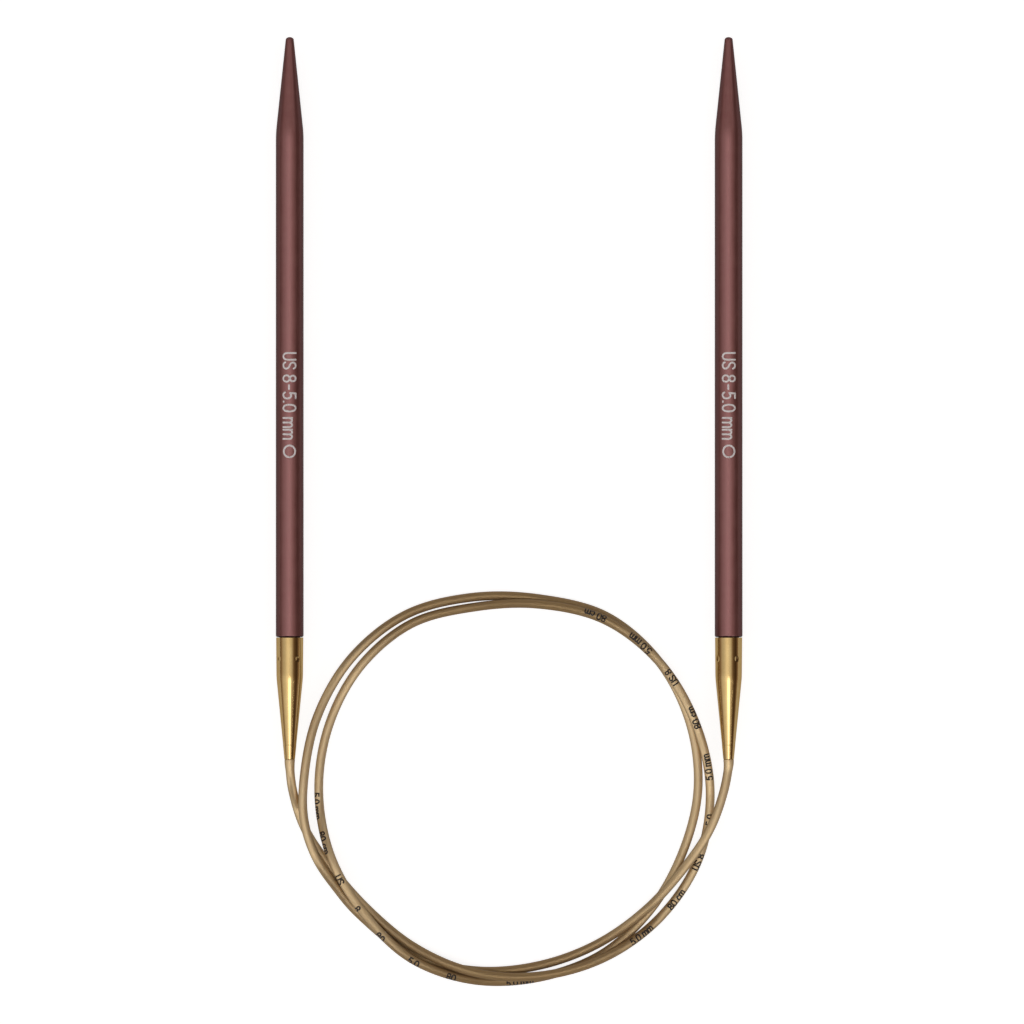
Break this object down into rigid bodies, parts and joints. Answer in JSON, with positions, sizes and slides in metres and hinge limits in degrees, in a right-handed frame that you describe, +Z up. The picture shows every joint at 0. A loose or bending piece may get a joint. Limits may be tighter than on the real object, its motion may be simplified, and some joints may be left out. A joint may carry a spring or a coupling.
{
  "type": "circular knitting needle",
  "caption": "Fixed circular knitting needle: turned aluminium tips in crimped brass ferrules, joined by one thin flexible nylon cord that lies in loose round turns.",
  "frame": {"origin": "under the middle of the pair of needles, on the plane that they rest on", "axes": "+Y along both needles towards their points, +X from the left needle to the right one, +Z up from the plane that the object lies on"},
  "size_m": [0.084, 0.1708, 0.005],
  "materials": {
    "anodised_aluminium": "satin dark red anodised",
    "polished_brass": "polished gold-coloured plating",
    "plain_brass": "plain crimped brass, hidden inside",
    "nylon_cord": "semi-gloss champagne nylon"
  },
  "bodies": {
    "cord": {"cord_loop": "nylon_cord"},
    "left_lead": {"left_cord_bend": "nylon_cord"},
    "left_needle": {"left_needle_tip": "anodised_aluminium", "left_ferrule": "polished_brass", "left_cord_stop": "plain_brass", "left_cord_end": "nylon_cord"},
    "right_lead": {"right_cord_bend": "nylon_cord"},
    "right_needle": {"right_needle_tip": "anodised_aluminium", "right_ferrule": "polished_brass", "right_cord_stop": "plain_brass", "right_cord_end": "nylon_cord"}
  },
  "joints": [
    {"name": "left_needle_lift", "type": "hinge", "parent": "cord", "child": "left_lead", "pos_m": [-0.03888, -0.07181, 0.00137], "axis": [1, 0, 0], "range_deg": [0, 40], "stiffness_Nm_per_rad": 0.03},
    {"name": "left_needle_swing", "type": "hinge", "parent": "left_lead", "child": "left_needle", "pos_m": [-0.0395, -0.0675, 0.0025], "axis": [0, 0, 1], "range_deg": [-12, 40], "stiffness_Nm_per_rad": 0.03},
    {"name": "right_needle_lift", "type": "hinge", "parent": "cord", "child": "right_lead", "pos_m": [0.0383, -0.07183, 0.0025], "axis": [1, 0, 0], "range_deg": [0, 40], "stiffness_Nm_per_rad": 0.03},
    {"name": "right_needle_swing", "type": "hinge", "parent": "right_lead", "child": "right_needle", "pos_m": [0.0395, -0.0675, 0.0025], "axis": [0, 0, -1], "range_deg": [-12, 40], "stiffness_Nm_per_rad": 0.03}
  ]
}
